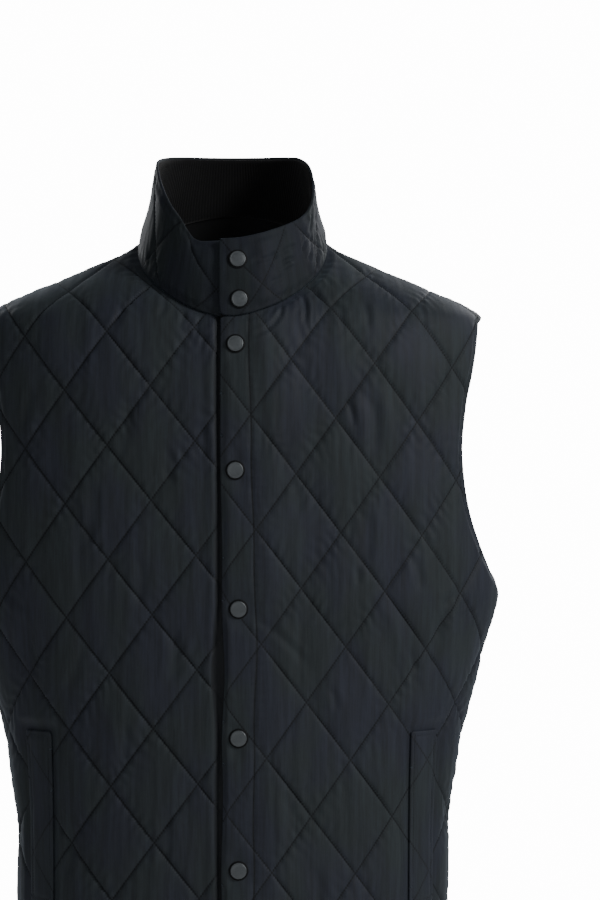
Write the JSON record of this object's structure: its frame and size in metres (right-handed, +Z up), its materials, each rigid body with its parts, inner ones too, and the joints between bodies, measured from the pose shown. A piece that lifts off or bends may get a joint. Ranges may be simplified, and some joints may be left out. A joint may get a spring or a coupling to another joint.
{
  "type": "quilted vest",
  "caption": "Sleeveless diamond-quilted vest with a stand collar and snap closing, in its worn hollow shape, open at neck, armholes and hem.",
  "frame": {"origin": "middle of the neck's base, level with the high points of the shoulders, where a wearer's shoulders carry the vest", "axes": "+Z up, the front faces -Y, +X is the wearer's left"},
  "size_m": [0.511, 0.2344, 0.7718],
  "materials": {
    "shell_fabric": "smooth dark navy woven cloth with a soft sheen",
    "corduroy": "black fine-wale corduroy",
    "snap_cap": "matt grey"
  },
  "bodies": {
    "root": {"front_left": "shell_fabric", "front_right": "shell_fabric", "back": "shell_fabric", "collar": "shell_fabric", "collar_facing": "corduroy", "pocket_welt_left": "shell_fabric", "pocket_welt_right": "shell_fabric", "snap_collar_1": "snap_cap", "snap_collar_2": "snap_cap", "snap_front_1": "snap_cap", "snap_front_2": "snap_cap", "snap_front_3": "snap_cap", "snap_front_4": "snap_cap", "snap_front_5": "snap_cap"}
  },
  "joints": []
}
